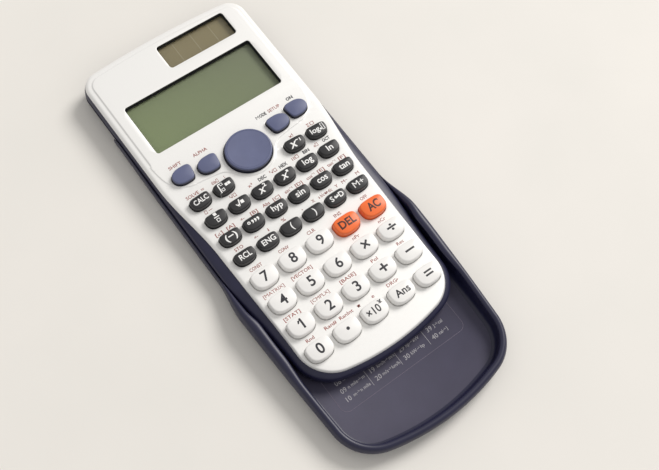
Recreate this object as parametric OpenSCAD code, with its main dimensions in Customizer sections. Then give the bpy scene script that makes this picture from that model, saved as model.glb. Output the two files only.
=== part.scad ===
// Scientific pocket calculator lying in its slide-on hard case, which is drawn part of the way out.
// X is across the body, Y runs from the number keys towards the display and Z is up from the table.
// The origin is on the table, under the middle of the whole outline. Units are millimetres.

/* [Body] */
// Length of the silver front shell
front_length = 160.7; // [156:0.1:166]
// Width of the rear shell
body_width = 77; // [76.6:0.1:79]
// Width of the front shell at the display
front_width = 76; // [75.6:0.1:76.4]
// Width of the front shell beside the last row of number keys
waist_width = 67; // [66.4:0.1:70]
// How far the rear shell's chin shows past the front shell
chin = 1.9; // [1:0.1:3]
// Height of the front face above the table
face_height = 10.8; // [10.8:0.1:11.6]
// Thickness of the front shell's plate
front_thick = 1.65; // [1.5:0.05:1.65]
// Height of the gap under the rear shell, measured from the table
body_lift = 2.2; // [2:0.1:2.3]

/* [Slide case] */
// Length of the slide case
case_length = 166; // [160:0.5:168]
// Widest part of the case's flared end
case_width = 84.2; // [84:0.1:86]
// How far the case is drawn out from its home position
case_out = 28; // [0:1:40]
// Thickness of the case's floor
case_floor = 1.6; // [1.2:0.1:1.6]
// Height of the case's rim where it is tallest
rim_height = 10.5; // [9:0.1:10.5]

/* [Keys] */
// Pitch of the number keys across the body
number_pitch_x = 12.95; // [12.9:0.05:13]
// Pitch of the number keys along the body
number_pitch_y = 11.45; // [11.3:0.05:11.5]
// Pitch of the function keys across the body
function_pitch_x = 10.82; // [10.7:0.02:10.9]
// Pitch of the function keys along the body
function_pitch_y = 9.43; // [9.1:0.01:9.5]
// How far a number key stands above the face
number_rise = 2.9; // [1.5:0.1:3]
// How far a function key stands above the face
function_rise = 2.4; // [1.2:0.1:2.5]
// How far a menu key and the cursor pad stand above the face
menu_rise = 2.2; // [1.2:0.1:2.5]

/* [Hidden] */
$fn = 48;
SILVER = [0.95, 0.95, 0.93];
NAVY = [0.18, 0.18, 0.32];
SLATE = [0.42, 0.44, 0.6];
CHARCOAL = [0.2, 0.2, 0.2];
PALE = [0.9, 0.89, 0.87];
ORANGE = [0.94, 0.42, 0.18];

// Heights of the stack, from the table up
parting_z = face_height - front_thick;
rear_floor_top = body_lift + 1.2;
board_z = 5;
board_top = 6;
sheet_top = 6.5;
flange_z = 8.2;
flange_top = 9.1;
display_top = 8.2;
window_z = 8.35;
window_top = 9.1;

// Plan positions
front_end = front_length / 2;
rear_end = front_end + chin;
case_gap = 0.5;
lip_thick = 3.25;
case_end = rear_end + case_gap + lip_thick + case_out;
case_mouth = case_length - case_end;
body_y = (case_end - front_end) / 2;
arch_radius = 100;
number_y = -31.45;
function_y = -20.3;
pad_y = 15.2;
pad_radii = [9.7, 9];
pad_flange_z = 7.6;
pad_flange_top = 8.25;
corner_radius = 7.5;
rail_inner = 38;
case_inner = body_width / 2 + 0.2;
low_wall = 0.8;
flare_start = -20.5;
flare_length = 19;
lip_over = 1.2;
cell_spot = [-18, 68.2];
screw_spots = [[32.2, 70], [33.4, 13], [20, -74]];
pillar_spots = [[16.1, -62], [16.1, -27], [16.1, 8], [16.1, 44]];

// Outline shape of each kind of key: half width, height above and below its middle, and how square it is
NUMBER_SHAPE = [5.35, 2.9, 4.6, 3.6, 2.7];
FUNCTION_SHAPE = [4.35, 1.85, 3.5, 4.2, 2.6];
flange_edge = 0.4;
key_gap = 0.25;

// Thickness of the rear shell's wall low down, and of its rim beside the keys' flanges
wall_thick = 1.75;
rim_thick = 0.9;

// Number keys row by row, function keys row by row, and the keys beside the cursor pad
NUMBER_ROWS = [
    ["key_7", "key_8", "key_9", "key_delete", "key_all_clear"],
    ["key_4", "key_5", "key_6", "key_multiply", "key_divide"],
    ["key_1", "key_2", "key_3", "key_plus", "key_minus"],
    ["key_0", "key_point", "key_exponent", "key_answer", "key_equals"]
];
FUNCTION_ROWS = [
    ["key_fraction", "key_square_root", "key_square", "key_power", "key_log", "key_ln"],
    ["key_negative", "key_degrees", "key_hyp", "key_sin", "key_cos", "key_tan"],
    ["key_recall", "key_engineering", "key_open_bracket", "key_close_bracket", "key_fraction_decimal",
        "key_memory_plus"]
];

// Every key as [name, kind, x, y, turn]
KEYS = concat(
    [for (r = [0:3], c = [0:4])
        [NUMBER_ROWS[r][c], r == 0 && c > 2 ? "clear" : "number",
            (c - 2) * number_pitch_x, number_y - r * number_pitch_y, 0]],
    [for (r = [0:2], c = [0:5])
        [FUNCTION_ROWS[r][c], "function",
            (c - 2.5) * function_pitch_x, function_y + (2 - r) * function_pitch_y, 0]],
    [
        ["key_calculate", "function", -27.9, 7.9, 3],
        ["key_integral", "function", -17.05, 7.9, 3],
        ["key_reciprocal", "function", 17.05, 7.9, -3],
        ["key_log_base", "function", 27.9, 7.9, -3],
        ["key_shift", "menu", -26.9, 20.3, 0],
        ["key_alpha", "menu", -16, 18.8, 0],
        ["key_mode", "menu", 16.9, 18.8, 0],
        ["key_on", "menu", 26.9, 20.3, 0]
    ]
);

function clamped(t) = max(0, min(1, t));
function eased(t) = clamped(t) * clamped(t) * (3 - 2 * clamped(t));
function mix(a, b, t) = a + (b - a) * t;
function mirrored(p) = [-p[0], p[1]];
function flipped(list) = [for (i = [len(list) - 1:-1:0]) list[i]];

// Half widths along the body: the front shell narrows in an S at the function keys, the rear shell later
function front_half(y) =
    mix(front_width / 2, waist_width / 2 + 1, eased((22 - y) / 38)) - clamped((-16 - y) / 40);
function rear_half(y) = body_width / 2 - 2.6 * eased((-22 - y) / 46);
// Half width of the case: it hugs the body at its mouth, flares at the rim's S and narrows to its end
function case_taper(d) = 0.02 * d + 0.00037 * d * d;
function case_half(y) = mix(case_inner + low_wall, case_width / 2, eased((flare_start - y) / flare_length))
    - case_taper(max(0, -38 - y));
// How far the case's lip leans in over the rear shell's sloped shoulders
function overhang(y) = lip_over * eased((-38 - y) / 8) * (1 - eased((-60 - y) / 14));
// Height of the case's rim
function rim_z(y) = mix(6.2, rim_height, eased((-18 - y) / 26)) - 2 * clamped((-50 - y) / 50);

// Right half of an arched end: a wide arc, then a corner of radius r whose centre is at x = c
function arched_end(end, c, r, arch, turn) =
    let (a = asin(c / (arch - r)), cy = end - arch + (arch - r) * cos(a))
    concat(
        [for (i = [0:3]) let (t = a * i / 4) [arch * sin(t), end - arch * (1 - cos(t))]],
        [for (i = [0:6]) let (t = mix(a, turn, i / 6)) [c + r * sin(t), cy + r * cos(t)]]
    );
function below(list) = [for (p = list) [p[0], -p[1]]];
function whole(half) = concat(half, flipped([for (i = [1:len(half) - 2]) mirrored(half[i])]));

// Closed outlines, anticlockwise from the middle of the lower end
function outline(end, bottom_c, bottom_r, kind) =
    let (
        lower = below(arched_end(end, bottom_c, bottom_r, arch_radius, 90)),
        width = kind == "front" ? front_width : body_width,
        upper = arched_end(front_end, width / 2 - corner_radius, corner_radius, 4 * arch_radius, 90),
        y0 = lower[len(lower) - 1][1],
        y1 = upper[len(upper) - 1][1],
        rows = [for (i = [1:23]) mix(y0, y1, i / 24)],
        side = [for (y = rows) [kind == "front" ? front_half(y) : rear_half(y), y]]
    )
    whole(concat(lower, side, flipped(upper)));
FRONT = outline(front_end, waist_width / 2 - 15.3, 15.3, "front");
REAR = outline(rear_end, body_width / 2 - 2.6 - 16, 16, "rear");
count = len(FRONT);

// An outline moved inwards by d
function inset(list, d) =
    let (n = len(list))
    [for (i = [0:n - 1])
        let (t = list[(i + 1) % n] - list[(i + n - 1) % n], u = t / norm(t))
        list[i] + d * [-u[1], u[0]]];
function blended(m) = [for (i = [0:count - 1]) mix(REAR[i], FRONT[i], m)];
function at_height(list, z) = [for (p = list) [p[0], p[1], z]];

// A closed solid through a stack of rings with equal numbers of points, from the lowest up
module stacked(rings) {
    n = len(rings[0]);
    last = len(rings) - 1;
    polyhedron(
        points = [for (r = rings, p = r) p],
        faces = concat(
            [[for (i = [0:n - 1]) i]],
            [[for (i = [n - 1:-1:0]) last * n + i]],
            [for (k = [0:n:(last - 1) * n], i = [0:n - 1]) [k + i, k + n + i, k + n + (i + 1) % n]],
            [for (k = [0:n:(last - 1) * n], i = [0:n - 1]) [k + i, k + n + (i + 1) % n, k + (i + 1) % n]]
        )
    );
}

module on_body() {
    translate([0, body_y, 0]) children();
}

module both_sides(spots) {
    for (p = spots, s = [-1, 1]) translate([s * p[0], p[1], 0]) children();
}

module slab(list, z0, z1) {
    translate([0, 0, z0]) linear_extrude(z1 - z0) polygon(list);
}

// Point of a rounded key outline at angle t, grown outwards by g
function power(v, n) = sign(v) * pow(abs(v), 2 / n);
function key_point(t, shape, g) =
    let (up = sin(t) > 0, n = up ? shape[3] : shape[4])
    [(shape[0] + g) * power(cos(t), n), ((up ? shape[1] : shape[2]) + g) * power(sin(t), n)];
// A menu key is rounded on its outer side and cut off at a slant on the side towards the pad
function menu_point(t, g) =
    let (inner = cos(t) > 0, n = inner ? 4 : 2.2, y = (3.5 + g) * power(sin(t), n))
    [(inner ? 3.9 + 0.16 * y + g : 5 + g) * power(cos(t), n), y];
function key_outline(kind, g) =
    [for (i = [0:31]) let (t = i * 11.25)
        kind == "menu" ? menu_point(t, g)
        : key_point(t, kind == "function" ? FUNCTION_SHAPE : NUMBER_SHAPE, g)];
function key_rise(kind) =
    kind == "menu" ? menu_rise : kind == "function" ? function_rise : number_rise;
function key_colour(kind) =
    kind == "menu" ? SLATE : kind == "function" ? CHARCOAL : kind == "clear" ? ORANGE : PALE;

// Outline of one key in its place on the body
module key_plan(k, g) {
    translate([k[2], k[3]]) rotate(k[4]) mirror([k[1] == "menu" && k[2] > 0 ? 1 : 0, 0])
        polygon(key_outline(k[1], g));
}

module pad_plan(g) {
    radii = pad_radii + [g, g];
    polygon([for (i = [0:47]) let (t = i * 7.5) [radii[0] * cos(t), pad_y + radii[1] * sin(t)]]);
}

// A key cap with a crowned top in two steps, standing on the flange that keeps it under the shell
module key_cap(k) {
    top = face_height + key_rise(k[1]);
    color(key_colour(k[1])) on_body() {
        translate([0, 0, flange_z]) linear_extrude(flange_top - flange_z) key_plan(k, flange_edge);
        translate([0, 0, flange_top]) linear_extrude(top - 0.6 - flange_top) key_plan(k, 0);
        translate([0, 0, top - 0.6]) linear_extrude(0.35) key_plan(k, -0.35);
        translate([0, 0, top - 0.25]) linear_extrude(0.25) key_plan(k, -0.9);
    }
}

module rounded_box(x0, x1, y0, y1, r) {
    translate([x0 + r, y0]) square([x1 - x0 - 2 * r, y1 - y0]);
    translate([x0, y0 + r]) square([x1 - x0, y1 - y0 - 2 * r]);
    for (x = [x0 + r, x1 - r], y = [y0 + r, y1 - r]) translate([x, y]) circle(r);
}

module display_opening() {
    rounded_box(-30.1, 30.1, 33.8, 58, 0.9);
}

module solar_opening() {
    rounded_box(-4, 28.5, 63.5, 75.2, 1);
}

module front_shell() {
    color(SILVER) on_body() difference() {
        union() {
            stacked([
                at_height(FRONT, parting_z),
                at_height(FRONT, face_height - 0.9),
                at_height(inset(FRONT, 0.3), face_height - 0.35),
                at_height(inset(FRONT, 1), face_height)
            ]);
            locating_rib();
            both_sides(screw_spots) translate([0, 0, 4.9]) cylinder(parting_z - 4.8, r = 2);
        }
        translate([0, 0, parting_z - 1]) linear_extrude(4) {
            display_opening();
            solar_opening();
        }
        for (k = KEYS) translate([0, 0, parting_z - 1]) linear_extrude(4) key_plan(k, key_gap);
        translate([0, 0, parting_z - 1]) linear_extrude(4) pad_plan(0.4);
        both_sides(screw_spots) translate([0, 0, 4]) cylinder(5.2, r = 0.95);
    }
}

// Low rib round the display end that seats the front shell inside the rear shell
module locating_rib() {
    intersection() {
        difference() {
            slab(inset(FRONT, 1.95), parting_z - 1, parting_z + 0.2);
            slab(inset(FRONT, 3), parting_z - 2, parting_z + 1);
        }
        translate([-50, 30, 0]) cube([100, 60, 20]);
    }
}

module rear_shell() {
    side = body_width / 2;
    color(NAVY) on_body() difference() {
        stacked([
            at_height(inset(REAR, 2.4), body_lift),
            at_height(inset(REAR, 1), body_lift + 0.6),
            at_height(inset(REAR, 0.25), body_lift + 1.6),
            at_height(REAR, body_lift + 2.8),
            at_height(REAR, 7.2),
            at_height(blended(0.3), 8.2),
            at_height(blended(0.75), parting_z - 0.3),
            at_height(blended(1), parting_z - 0.05)
        ]);
        difference() {
            union() {
                slab(inset(REAR, 2.2), rear_floor_top, 6.8);
                slab(inset(FRONT, wall_thick), rear_floor_top, 8);
                slab(inset(FRONT, rim_thick), flange_z - 1.2, 12);
            }
            both_sides(screw_spots) cylinder(4.8, r = 2.9);
            both_sides(pillar_spots) cylinder(board_z, r = 1.5);
        }
        // Grooves that the case's rails run in
        for (s = [-1, 1]) translate([s * (side + 0.7), -rear_end - 5, 4.15 + 0.75])
            translate([-1.5, 0, -0.75]) cube([3, rear_end + front_end + 2, 1.5]);
        both_sides(screw_spots) translate([0, 0, body_lift - 0.5]) cylinder(1.9, r = 1.9);
        both_sides(screw_spots) cylinder(6, r = 1.15);
    }
}

// Self-tapping screws: a recessed head and a shank up into the front shell's post
module screws() {
    color([0.7, 0.7, 0.72]) on_body() both_sides(screw_spots) difference() {
        union() {
            translate([0, 0, 2.55]) cylinder(1.05, r = 1.7);
            translate([0, 0, 3.5]) cylinder(4.9, r = 0.9);
        }
        for (a = [0, 90]) rotate(a) translate([-1.1, -0.2, 2]) cube([2.2, 0.4, 1.1]);
    }
}

module window_lens() {
    color([0.8, 0.85, 0.8, 0.4]) on_body() translate([0, 0, window_z]) linear_extrude(window_top - window_z) {
        translate([-34, 31]) square([68, 30]);
        translate([-6, 60]) square([35.8, 16]);
    }
}

module lcd_panel() {
    color([0.47, 0.52, 0.38]) on_body() translate([-33, 31.5, 6.2]) cube([66, 29, display_top - 6.2]);
}

module lcd_ribbon() {
    color([0.75, 0.55, 0.25]) on_body() translate([-24, 24, board_top]) cube([48, 9.5, 0.2]);
}

module solar_cell() {
    color([0.4, 0.36, 0.28]) on_body() translate([-5.4, 62.4, 7.2]) cube([34.8, 13.8, display_top - 7.2]);
}

module circuit_board() {
    color([0.15, 0.4, 0.22]) on_body() {
        difference() {
            slab(inset(FRONT, 3), board_z, board_top);
            both_sides(screw_spots) cylinder(20, r = 2.6);
            translate(cell_spot) cylinder(20, r = 6.4);
        }
        // Encapsulated chip and a capacitor on the underside
        translate([0, 2, board_z - 0.9]) cylinder(1, r1 = 3.5, r2 = 5.5);
        translate([-9, 26, board_z - 1.2]) cube([3.2, 1.8, 1.3]);
    }
}

module dome(x, y, top) {
    translate([x, y, sheet_top - 0.1]) cylinder(top - sheet_top + 0.1, r1 = 2.4, r2 = 1.6, $fn = 24);
}

// Rubber sheet with a collapsing dome under every key, and four under the cursor pad
module dome_sheet() {
    color([0.8, 0.8, 0.8]) on_body() {
        difference() {
            intersection() {
                slab(inset(FRONT, 3.2), board_top, sheet_top);
                translate([-50, -73, 0]) cube([100, 96.4, 20]);
            }
            both_sides(screw_spots) cylinder(20, r = 2.6);
        }
        for (k = KEYS) dome(k[2], k[3], flange_z - 0.05);
        for (a = [0:90:270]) dome(7 * cos(a), pad_y + 7 * sin(a), 7.55);
    }
}

module button_cell() {
    color([0.78, 0.78, 0.8]) on_body() translate(cell_spot) {
        translate([0, 0, 3.6]) cylinder(0.6, r = 4.6);
        translate([0, 0, 4.1]) cylinder(4.9, r = 5.8);
    }
}

// Spring strips for the cell: one under its cap and up to the board, one against its side
module battery_terminals() {
    color([0.85, 0.8, 0.6]) on_body() translate(cell_spot) {
        translate([-2, -2, rear_floor_top]) cube([11, 4, 0.2]);
        translate([8.8, -2, rear_floor_top]) cube([0.2, 4, board_z - rear_floor_top]);
        translate([-6.05, -2, board_top]) cube([0.2, 4, 2.4]);
        translate([-9.5, -2, board_top]) cube([3.6, 4, 0.2]);
    }
}

module cursor_pad() {
    top = face_height + menu_rise;
    color(SLATE) on_body() difference() {
        union() {
            translate([0, 0, pad_flange_z]) linear_extrude(pad_flange_top - pad_flange_z) pad_plan(0.8);
            translate([0, 0, pad_flange_top]) linear_extrude(top - 0.6 - pad_flange_top) pad_plan(0);
            translate([0, 0, top - 0.6]) linear_extrude(0.35) pad_plan(-0.35);
            translate([0, 0, top - 0.25]) linear_extrude(0.25) pad_plan(-0.9);
        }
        translate([0, pad_y, 8]) sphere(1.6);
        translate([0, pad_y, 7]) cylinder(1, r = 1.5);
    }
}

// Ball-headed pivot that the cursor pad rocks on
module pad_pivot() {
    color([0.3, 0.3, 0.3]) on_body() translate([0, pad_y, 0]) {
        translate([0, 0, 8]) sphere(1.4);
        translate([0, 0, 6.7]) cylinder(1, r = 0.8);
    }
}

// One station of the case's wall: distance in from the outline and height, from the underside round the
// outside and over the lip to the floor
function wall_section(y) =
    let (
        h = rim_z(y),
        b = eased((-18 - y) / 26),
        t = case_half(max(y, -60)) - case_inner,
        lip = mix(t, lip_thick, clamped((-50 - y) / 20)),
        over = lip + overhang(y)
    )
    [
        [mix(2, 4.2, b), 0], [mix(0.6, 2, b), mix(0.5, 1, b)], [mix(0.1, 0.6, b), mix(1.6, 3.2, b)],
        [0, mix(3, 6, b)], [mix(0, 0.25, b), mix(h - 0.6, h - 1.5, b)], [over * 0.27, h - mix(0.1, 0.4, b)],
        [over * 0.55, h], [over * 0.85, h - mix(0.1, 0.3, b)], [over, h - mix(0.3, 0.9, b)],
        [mix(lip, over, 0.6), h - mix(0.7, 1.7, b)], [lip, h - mix(1, 2.4, b)],
        [lip, case_floor + mix(0.4, 1.6, b)], [lip + mix(0.2, 0.6, b), case_floor + mix(0.1, 0.5, b)],
        [lip + mix(0.5, 1.8, b), case_floor]
    ];

// Outer line of the case's plan from its mouth on the right, round the closed end, to its mouth on the left
CASE_HALF_PATH = let (
        end = below(arched_end(case_end, 21.4, 18.5, arch_radius, 84)),
        y0 = end[len(end) - 1][1]
    )
    concat(
        end,
        [for (i = [1:17]) let (y = mix(y0, -17, i / 17)) [case_half(y), y]],
        [[case_half(0), case_mouth]]
    );
CASE_PATH = concat(
    flipped(CASE_HALF_PATH),
    [for (i = [1:len(CASE_HALF_PATH) - 1]) mirrored(CASE_HALF_PATH[i])]
);

// Direction from a point of the path towards the inside, which is square to the side at the mouth
function path_inward(list, i) =
    let (
        n = len(list),
        t = i < 2 ? [0, -1] : i > n - 3 ? [0, 1] : list[i + 1] - list[i - 1],
        u = t / norm(t)
    )
    [u[1], -u[0]];

// Floor and wall as one closed solid: strips along the wall, then the underside, the floor and the mouth
module case_tray() {
    n = len(CASE_PATH);
    m = len(wall_section(0));
    polyhedron(
        points = [for (i = [0:n - 1], s = wall_section(CASE_PATH[i][1]))
            let (p = CASE_PATH[i] + s[0] * path_inward(CASE_PATH, i)) [p[0], p[1], s[1]]],
        faces = concat(
            [[for (i = [0:n - 1]) i * m]],
            [[for (i = [n - 1:-1:0]) i * m + m - 1]],
            [concat([for (j = [m - 1:-1:0]) j], [for (j = [0:m - 1]) (n - 1) * m + j])],
            [for (i = [0:n - 2], j = [0:m - 2]) [i * m + j, (i + 1) * m + j + 1, i * m + j + 1]],
            [for (i = [0:n - 2], j = [0:m - 2]) [i * m + j, (i + 1) * m + j, (i + 1) * m + j + 1]]
        )
    );
}

// Hard case: a flat floor inside a rounded wall, open at the display end, with a rail along each side
module slide_case() {
    color(NAVY) on_body() {
        case_tray();
        for (s = [-1, 1]) translate([s * (rail_inner + case_inner + 0.4) / 2, 16, 4.9])
            cube([case_inner + 0.4 - rail_inner, 64, 1], center = true);
    }
}

front_shell();
rear_shell();
window_lens();
lcd_panel();
lcd_ribbon();
solar_cell();
circuit_board();
dome_sheet();
button_cell();
battery_terminals();
screws();
slide_case();
cursor_pad();
pad_pivot();
for (k = KEYS) key_cap(k);
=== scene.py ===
"""Looks of a scientific pocket calculator, drawn partly out of its slide case, round its CAD frame."""
import math
from collections import namedtuple

import bmesh
import bpy
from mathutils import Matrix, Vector, geometry
from mathutils.bvhtree import BVHTree


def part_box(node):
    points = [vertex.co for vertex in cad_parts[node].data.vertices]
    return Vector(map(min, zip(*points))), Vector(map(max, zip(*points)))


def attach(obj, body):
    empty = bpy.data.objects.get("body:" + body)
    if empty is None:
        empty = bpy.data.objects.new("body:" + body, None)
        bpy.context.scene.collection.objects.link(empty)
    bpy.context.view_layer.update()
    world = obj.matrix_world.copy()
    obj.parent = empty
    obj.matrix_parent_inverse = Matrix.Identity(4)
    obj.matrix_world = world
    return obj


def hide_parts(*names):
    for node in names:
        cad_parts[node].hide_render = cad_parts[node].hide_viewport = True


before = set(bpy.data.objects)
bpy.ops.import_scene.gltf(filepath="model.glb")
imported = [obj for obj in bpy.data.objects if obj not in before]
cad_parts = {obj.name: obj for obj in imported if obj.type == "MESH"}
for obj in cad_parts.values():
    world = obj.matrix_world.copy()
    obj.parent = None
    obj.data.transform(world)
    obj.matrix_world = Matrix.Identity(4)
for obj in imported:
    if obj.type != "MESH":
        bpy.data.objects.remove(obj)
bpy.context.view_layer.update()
MM = 0.001
scene = bpy.context.scene

# ---------------------------------------------------------------- sizes, in millimetres, from the frame


def mm_box(node):
    low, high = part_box(node)
    return low / MM, high / MM


FRONT_LOW, FRONT_HIGH = mm_box("front_shell")
REAR_LOW, REAR_HIGH = mm_box("rear_shell")
CASE_LOW, CASE_HIGH = mm_box("slide_case")
PAD_LOW, PAD_HIGH = mm_box("cursor_pad")
BODY_Y = (FRONT_LOW.y + FRONT_HIGH.y) / 2
FRONT_END = (FRONT_HIGH.y - FRONT_LOW.y) / 2
FRONT_WIDTH = FRONT_HIGH.x
HALF_WIDTH = REAR_HIGH.x
REAR_END = BODY_Y - REAR_LOW.y
CASE_END = BODY_Y - CASE_LOW.y
CASE_MOUTH = CASE_HIGH.y - BODY_Y
FACE = FRONT_HIGH.z
PARTING = REAR_HIGH.z + 0.05
BODY_LIFT = REAR_LOW.z
RIM = CASE_HIGH.z
PAD_FLANGE = 0.8
PAD_CENTRE = ((PAD_LOW.x + PAD_HIGH.x) / 2, (PAD_LOW.y + PAD_HIGH.y) / 2 - BODY_Y)
PAD_RADII = ((PAD_HIGH.x - PAD_LOW.x) / 2 - PAD_FLANGE, (PAD_HIGH.y - PAD_LOW.y) / 2 - PAD_FLANGE)

# Sizes that the frame's boxes don't give, as in the CAD source
WAIST = 33.5  # half width of the front shell at the number keys
ARCH = 100  # radius of the arc across the lower ends
CORNER = 7.5  # corner radius at the display end
FRONT_CORNER = 15.3
REAR_CORNER = 16
REAR_NARROWING = 2.6
KEY_GAP = 0.25
KEY_FLANGE = 0.4
CASE_FLOOR = 1.6
CASE_WIDE = 42.1
CASE_INNER = HALF_WIDTH + 0.2
CASE_CORNER = 18.5
CASE_CORNER_X = 21.4
CASE_CORNER_TURN = 84
CASE_TAPER_START = -38
CASE_TAPER = (0.02, 0.00037)  # how fast it narrows past that start: per mm, and per mm squared
LIP = 3.25
LIP_THICK_TO = -60  # behind this the wall's thickness no longer follows the case's width
LIP_OVER = 1.2
LOW_WALL = 0.8
LOW_WALL_START = -17
LOW_RIM = 6.2
RIM_FALL = 2

# Spans along the body, as (start, length), that run from their start towards the number keys
FRONT_S = (22, 38)
FRONT_TAPER = (-16, 40)
REAR_TAPER = (-22, 46)
EDGE_TAPER = (-30, 20)
CASE_FLARE = (-20.5, 19)
RIM_RISE = (-18, 26)
RIM_FALL_SPAN = (-50, 50)
LIP_SPAN = (-50, 20)
OVER_BEGINS = (-38, 8)
OVER_ENDS = (-60, 14)

# The case's mouth, where only the looks differ from the CAD: its wall thins and its rim rounds off
MOUTH_THINNING = 0.45
MOUTH_THIN_START = 20
MOUTH_THIN_LENGTH = 30
MOUTH_DROP = 1.9
MOUTH_ROUND = 4

INK = 0.03  # thickness of everything printed

# ---------------------------------------------------------------- small geometry helpers


def clamped(t):
    return max(0.0, min(1.0, t))


def eased(t):
    t = clamped(t)
    return t * t * (3 - 2 * t)


def mix(a, b, t):
    return a + (b - a) * t


def steps(a, b, n):
    """n + 1 even steps from a to b, both ends included."""
    return [mix(a, b, i / n) for i in range(n + 1)]


def along(span, y):
    """Share of a span that is passed at y: 0 at its start, 1 at its end."""
    start, length = span
    return (start - y) / length


def front_half(y):
    """Half width of the front shell: an S at the function keys, then a slight taper."""
    return mix(FRONT_WIDTH, WAIST + 1, eased(along(FRONT_S, y))) - clamped(along(FRONT_TAPER, y))


def rear_half(y):
    return HALF_WIDTH - REAR_NARROWING * eased(along(REAR_TAPER, y))


def case_half(y):
    """Half width of the case: it hugs the body at its mouth, flares at the rim's S and narrows to its end."""
    past = max(0, CASE_TAPER_START - y)
    flared = mix(CASE_INNER + LOW_WALL, CASE_WIDE, eased(along(CASE_FLARE, y)))
    return flared - CASE_TAPER[0] * past - CASE_TAPER[1] * past ** 2


def overhang(y):
    """How far the case's lip leans in over the rear shell's sloped shoulders."""
    return LIP_OVER * eased(along(OVER_BEGINS, y)) * (1 - eased(along(OVER_ENDS, y)))


def mouth_share(y):
    """Share of the low wall's thickness that is left: it thins towards the case's mouth."""
    return 1 - MOUTH_THINNING * eased((y - MOUTH_THIN_START) / MOUTH_THIN_LENGTH)


def rim_z(y):
    """Height of the case's rim: it rises past the S, falls a little to the end, and rounds at the mouth."""
    mouth = MOUTH_DROP * clamped((y - CASE_MOUTH + MOUTH_ROUND) / MOUTH_ROUND) ** 2
    return mix(LOW_RIM, RIM, eased(along(RIM_RISE, y))) - RIM_FALL * clamped(along(RIM_FALL_SPAN, y)) - mouth


def arched_end(end, c, r, arch, turn):
    """Right half of an end: a wide arc, then a corner of radius r whose centre is at x = c."""
    a = math.asin(c / (arch - r))
    cy = end - arch + (arch - r) * math.cos(a)
    arc = [(arch * math.sin(t), end - arch * (1 - math.cos(t))) for t in steps(0, a, 14)[:-1]]
    return arc + [(c + r * math.sin(t), cy + r * math.cos(t)) for t in steps(a, math.radians(turn), 14)]


def outline(end, c, r, half):
    """Closed outline of the body, anticlockwise from the middle of its lower end."""
    lower = [(x, -y) for x, y in arched_end(end, c, r, ARCH, 90)]
    upper = arched_end(FRONT_END, half(FRONT_END) - CORNER, CORNER, 4 * ARCH, 90)
    side = [(half(y), y) for y in steps(lower[-1][1], upper[-1][1], 60)[1:-1]]
    right = lower + side + upper[::-1]
    return right + [(-x, y) for x, y in right[-2:0:-1]]


def inset(loop, d):
    """A closed anticlockwise loop moved inwards by d."""
    moved = []
    for i, (x, y) in enumerate(loop):
        (x0, y0), (x1, y1) = loop[i - 1], loop[(i + 1) % len(loop)]
        long = math.hypot(x1 - x0, y1 - y0)
        moved.append((x - d * (y1 - y0) / long, y + d * (x1 - x0) / long))
    return moved


def blended(a, b, t):
    return [(mix(p[0], q[0], t), mix(p[1], q[1], t)) for p, q in zip(a, b)]


def chaikin(points, rounds):
    """An open line with its corners cut, which keeps its two ends."""
    for _ in range(rounds):
        cut = [points[0]]
        for p, q in zip(points, points[1:]):
            cut += [tuple(mix(a, b, s) for a, b in zip(p, q)) for s in (0.25, 0.75)]
        points = cut + [points[-1]]
    return points


def inside(loop, x, y):
    odd = False
    for (x0, y0), (x1, y1) in zip(loop, loop[1:] + loop[:1]):
        if (y0 > y) != (y1 > y) and x < x0 + (y - y0) * (x1 - x0) / (y1 - y0):
            odd = not odd
    return odd


def distance(loop, x, y):
    """How far a point lies from a closed loop."""
    least = 1e9
    for (x0, y0), (x1, y1) in zip(loop, loop[1:] + loop[:1]):
        dx, dy = x1 - x0, y1 - y0
        t = clamped(((x - x0) * dx + (y - y0) * dy) / (dx * dx + dy * dy or 1))
        least = min(least, (x - x0 - t * dx) ** 2 + (y - y0 - t * dy) ** 2)
    return math.sqrt(least)


FRONT = outline(FRONT_END, WAIST - FRONT_CORNER, FRONT_CORNER, front_half)
REAR = outline(REAR_END, HALF_WIDTH - REAR_NARROWING - REAR_CORNER, REAR_CORNER, rear_half)


class Shape:
    """Points and faces of one piece while it is built, in the body's own place in millimetres."""

    def __init__(self):
        self.points = []
        self.faces = []
        self.finish = []

    def add(self, points):
        start = len(self.points)
        self.points += [tuple(p) for p in points]
        return list(range(start, len(self.points)))

    def ring(self, loop, z):
        return self.add([(x, y, z) for x, y in loop])

    def face(self, corners, finish=0):
        self.faces.append(list(corners))
        self.finish.append(finish)

    def strip(self, a, b, closed=True, finish=0):
        n = len(a)
        for i in range(n if closed else n - 1):
            j = (i + 1) % n
            self.face((a[i], a[j], b[j], b[i]), finish)

    def loft(self, rings, closed=True, finish=0):
        for a, b in zip(rings, rings[1:]):
            self.strip(a, b, closed, finish)

    def sheet(self, rim, holes, extra, height, finish=0):
        """Triangles inside the rim and outside the holes, through extra points at a height."""
        index = list(rim) + [i for hole in holes for i in hole]
        flat = [Vector(self.points[i][:2]) for i in index] + [Vector(p) for p in extra]
        index += [None] * len(extra)
        loops, start = [], 0
        for loop in [rim] + holes:
            loops.append(list(range(start, start + len(loop))))
            start += len(loop)
        spots, _, faces, origins, _, owners = geometry.delaunay_2d_cdt(flat, [], loops, 0, 1e-5, True)
        for face, owner in zip(faces, owners):
            if owner != [0]:
                continue
            corners = []
            for v in face:
                source = origins[v][0]
                if index[source] is None:
                    x, y = spots[v]
                    index[source] = self.add([(x, y, height(x, y))])[0]
                corners.append(index[source])
            self.face(corners, finish)

    def merge(self, other, finish):
        start = len(self.points)
        self.points += other.points
        for corners in other.faces:
            self.face([start + i for i in corners], finish)

    def tree(self):
        return BVHTree.FromPolygons(self.points, self.faces)


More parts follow.
